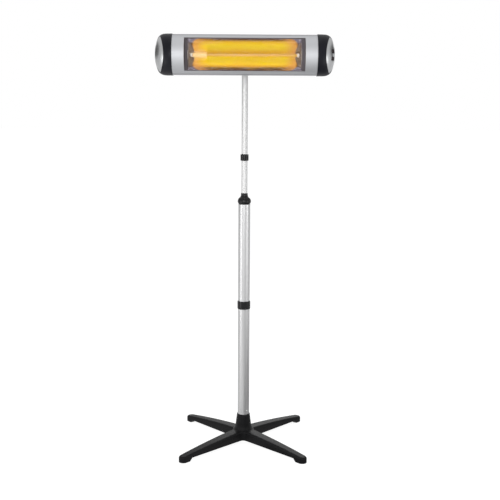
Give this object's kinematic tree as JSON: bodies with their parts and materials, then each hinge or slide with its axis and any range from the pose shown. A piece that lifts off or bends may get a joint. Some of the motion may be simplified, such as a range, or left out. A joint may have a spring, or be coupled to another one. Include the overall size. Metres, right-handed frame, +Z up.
{
  "type": "infrared patio heater tower",
  "caption": "Free-standing infrared heater: a tilting lamp head with a front window on a height-adjustable mast over a four-legged base.",
  "frame": {"origin": "floor, under the mast's axis", "axes": "+Z up, +X to the right seen from the front, -Y the way the lamp faces"},
  "size_m": [0.7118, 0.5284, 1.7352],
  "materials": {
    "base_metal": "black powder coat",
    "pad_plastic": "satin",
    "zinc_steel": "zinc plated",
    "outer_tube_steel": "brushed",
    "inner_tube_steel": "brushed",
    "collar_plastic": "fine texture",
    "core_plastic": "moulded",
    "collet_plastic": "moulded",
    "cup_metal": "satin",
    "strap_steel": "brushed",
    "knob_plastic": "moulded",
    "housing_aluminium": "anodised",
    "cover_metal": "brushed lengthwise",
    "cheek_metal": "matt",
    "front_glass": "clear",
    "seal_rubber": "matt",
    "reflector_metal": "hammered",
    "quartz": "clear",
    "filament_metal": "glowing",
    "ceramic_white": "unglazed",
    "cap_plastic": "satin",
    "disc_metal": "silver satin",
    "switch_plastic": "moulded",
    "rocker_plastic": "moulded",
    "terminal_plastic": "moulded",
    "sensor_plastic": "moulded"
  },
  "bodies": {
    "stand": {"base_star": "base_metal", "foot_pads": "pad_plastic", "base_bolt": "zinc_steel", "base_washer": "zinc_steel", "outer_tube_lower": "outer_tube_steel", "tube_plug": "core_plastic", "plug_screw": "zinc_steel", "outer_coupler": "collar_plastic", "outer_tube_upper": "outer_tube_steel", "clamp_bush": "core_plastic"},
    "collet": {"split_collet": "collet_plastic"},
    "inner_mast": {"inner_tube_lower": "inner_tube_steel", "inner_coupler": "collar_plastic", "inner_tube_upper": "inner_tube_steel", "guide_bush": "core_plastic", "mast_top_cup": "cup_metal", "mast_strap": "strap_steel", "strap_screws": "zinc_steel", "strap_nuts": "zinc_steel", "tilt_spacer": "zinc_steel", "tilt_washers": "knob_plastic", "tilt_bolt": "zinc_steel"},
    "head": {"slot_bolts": "zinc_steel", "slot_nuts": "zinc_steel", "cap_screws": "zinc_steel", "head_strap": "strap_steel", "holder_bracket_left": "strap_steel", "holder_bracket_right": "strap_steel", "rear_housing": "housing_aluminium", "front_cover": "cover_metal", "window_cheek_left": "cheek_metal", "window_cheek_right": "cheek_metal", "glass_pane": "front_glass", "glass_seal": "seal_rubber", "reflector": "reflector_metal", "reflector_end_left": "reflector_metal", "reflector_end_right": "reflector_metal", "lamp_tube": "quartz", "filament": "filament_metal", "lamp_sleeve": "ceramic_white", "lamp_end_left": "ceramic_white", "lamp_end_right": "ceramic_white", "lamp_holder_left": "ceramic_white", "lamp_holder_right": "ceramic_white", "end_cap_left": "cap_plastic", "end_cap_right": "cap_plastic", "end_disc_left": "disc_metal", "end_disc_right": "disc_metal", "switch_case_upper": "switch_plastic", "switch_case_lower": "switch_plastic", "cable_gland": "switch_plastic", "gland_locknut": "switch_plastic", "terminal_block": "terminal_plastic", "tip_over_switch": "sensor_plastic"},
    "lock_ring": {"lock_ring": "collar_plastic"},
    "tilt_knob": {"tilt_knob": "knob_plastic"},
    "rocker_upper": {"rocker_upper": "rocker_plastic"},
    "rocker_lower": {"rocker_lower": "rocker_plastic"}
  },
  "joints": [
    {"name": "mast_swivel", "type": "hinge", "parent": "stand", "child": "collet", "pos_m": [0, 0, 1.06], "axis": [0, 0, 1], "continuous": true},
    {"name": "mast_height", "type": "slide", "parent": "collet", "child": "inner_mast", "axis": [0, 0, 1], "range_m": [-0.125, 0.17]},
    {"name": "head_tilt", "type": "hinge", "parent": "inner_mast", "child": "head", "pos_m": [0, -0.052, 1.654], "axis": [1, 0, 0], "range_deg": [-15, 45]},
    {"name": "lock_ring_turn", "type": "hinge", "parent": "stand", "child": "lock_ring", "pos_m": [0, 0, 1.06], "axis": [0, 0, 1], "range_deg": [0, 120]},
    {"name": "tilt_knob_turn", "type": "hinge", "parent": "inner_mast", "child": "tilt_knob", "pos_m": [0.03, -0.052, 1.654], "axis": [1, 0, 0], "range_deg": [0, 180]},
    {"name": "rocker_upper_rock", "type": "hinge", "parent": "head", "child": "rocker_upper", "pos_m": [0.34992, -0.15693, 1.668], "axis": [0, 0, 1], "range_deg": [0, 18]},
    {"name": "rocker_lower_rock", "type": "hinge", "parent": "head", "child": "rocker_lower", "pos_m": [0.34992, -0.15693, 1.64], "axis": [0, 0, 1], "range_deg": [0, 18]}
  ]
}
